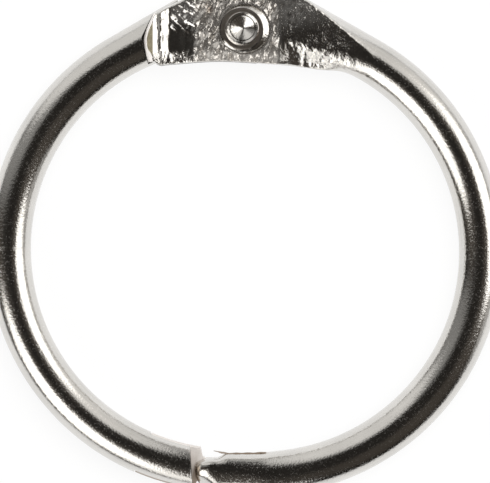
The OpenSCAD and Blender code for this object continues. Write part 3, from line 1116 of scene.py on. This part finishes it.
# ------------------------------------------------------------ floor and light
def pale_paper():
    """Pale paper, which the camera sees as almost white with a faint shadow, and which the
    metal mirrors as almost white near the ring and dimmer far from it."""
    mat = bpy.data.materials.new("pale_paper")
    tree = emptied_tree(mat)
    far = new_node(tree, "VectorMath")
    far.operation = "LENGTH"
    fill(far, {0: new_node(tree, "TexCoord").outputs["Object"]})
    seen = new_node(tree, "LightPath").outputs
    near_ring = from_to(tree, far.outputs["Value"], 0.022, 0.09, 1.0, 0.35)
    white = new_node(tree, "Emission", {
        "Color": (1, 1, 1, 1),
        "Strength": maths(tree, "MAXIMUM", near_ring, seen["Is Camera Ray"])})
    paper = new_node(tree, "BsdfDiffuse", {"Color": (0.9, 0.9, 0.9, 1)})
    shown = maths(tree, "MAXIMUM", seen["Is Camera Ray"], seen["Is Glossy Ray"])
    both = new_node(tree, "MixShader", {
        "Fac": maths(tree, "MULTIPLY", shown, 0.88),
        1: paper.outputs["BSDF"],
        2: white.outputs["Emission"]})
    new_node(tree, "OutputMaterial", {"Surface": both.outputs["Shader"]})
    return mat


def floor():
    """Sheet of paper that the ring lies on."""
    let_go()
    bpy.ops.mesh.primitive_plane_add(size=1.2, location=(0, 0, 0))
    obj = started("floor")
    obj.data.materials.append(pale_paper())


# Patches of light by direction: azimuth and half width, angle from above and half height,
# all in degrees, then the softness of the rim and the strength. The first two brown ones
# are halos of the strongest lights, and the third stands alone.
SOFT_LIGHTS = [
    (15, 29, 57, 23, 0.25, 1.9),
    (50, 26, 62, 32, 0.35, 0.75),
    (5, 34, 84, 16, 0.4, 0.42),
    (119, 30, 68, 38, 0.5, 0.8),
    (152, 18, 66, 42, 0.6, 0.25),
    (90, 30, 88, 16, 0.5, 0.45),
    (224, 31, 55, 26, 0.25, 1.9),
    (262, 18, 73, 13, 0.35, 1.2),
    (300, 200, 96, 8, 0.6, 0.1),
]
BROWN_LIGHTS = [
    (15, 46, 54, 36, 0.8, 0.08),
    (224, 46, 54, 36, 0.8, 0.08),
    (318, 46, 48, 26, 0.8, 0.04),
]
DARK_ROOM = 0.014


def studio():
    """A dark room with soft patches of light and dim brown ones. The camera sees it as
    white."""
    world = bpy.data.worlds.new("studio")
    bpy.context.scene.world = world
    tree = emptied_tree(world)
    place = new_node(tree, "TexCoord").outputs["Generated"]
    way = new_node(tree, "SeparateXYZ", {"Vector": place}).outputs
    to_deg = 180 / math.pi
    azimuth = maths(tree, "MULTIPLY", maths(tree, "ARCTAN2", way["Y"], way["X"]), to_deg)
    from_above = maths(tree, "MULTIPLY", maths(tree, "ARCCOSINE", way["Z"]), to_deg)

    def patch(az, half, height, half_height, soft, strength):
        """Strength of one oval patch of light."""
        turn = maths(tree, "WRAP", maths(tree, "SUBTRACT", azimuth, az), 180.0, -180.0)
        across = maths(tree, "DIVIDE", maths(tree, "ABSOLUTE", turn), half)
        rise = maths(tree, "DIVIDE", maths(tree, "SUBTRACT", from_above, height), half_height)
        far = maths(tree, "ADD", maths(tree, "POWER", across, 2.0),
                    maths(tree, "MULTIPLY", rise, rise))
        dark = from_to(tree, far, 1 - soft, 1 + soft, steps="SMOOTHSTEP")
        return maths(tree, "MULTIPLY", maths(tree, "SUBTRACT", 1.0, dark), strength)

    def brightest(patches):
        """Strength of the strongest patch in each direction."""
        light = patch(*patches[0])
        for numbers in patches[1:]:
            light = maths(tree, "MAXIMUM", light, patch(*numbers))
        return light

    camera_ray = new_node(tree, "LightPath").outputs["Is Camera Ray"]
    lit = new_node(tree, "Background", {
        "Color": (1, 0.99, 0.97, 1),
        "Strength": maths(tree, "MAXIMUM", brightest(SOFT_LIGHTS), camera_ray)})
    dim = new_node(tree, "Background", {
        "Color": (1, 0.85, 0.7, 1),
        "Strength": maths(tree, "ADD", brightest(BROWN_LIGHTS), DARK_ROOM)})
    both = new_node(tree, "AddShader", {
        0: lit.outputs["Background"], 1: dim.outputs["Background"]})
    new_node(tree, "OutputWorld", {"Surface": both.outputs["Shader"]})


def lamp(name, place, size, power):
    """Soft round lamp that points at the ring and isn't mirrored in it."""
    let_go()
    bpy.ops.object.light_add(type="AREA", location=place)
    obj = bpy.context.active_object
    obj.name = name
    obj.data.shape = "DISK"
    obj.data.size = size
    obj.data.energy = power
    obj.rotation_euler = (-Vector(place)).to_track_quat("-Z", "Y").to_euler()
    obj.visible_glossy = False


def camera(distance, looks_at_y, view_w):
    """Camera straight above the ring, which sees the given width at the ring's middle."""
    let_go()
    bpy.ops.object.camera_add(
        location=(0, (looks_at_y - MID_Y) * MM, (MID_Z + distance) * MM))
    obj = bpy.context.active_object
    obj.data.sensor_width = 36
    obj.data.lens = obj.data.sensor_width * distance / view_w
    obj.data.clip_start = 0.01
    bpy.context.scene.camera = obj


floor()
studio()
lamp("soft_top", place=(0.1, 0.12, 0.6), size=0.5, power=3.2)
camera(distance=500, looks_at_y=0.522, view_w=29.0815)
bpy.context.scene.view_settings.view_transform = "Standard"
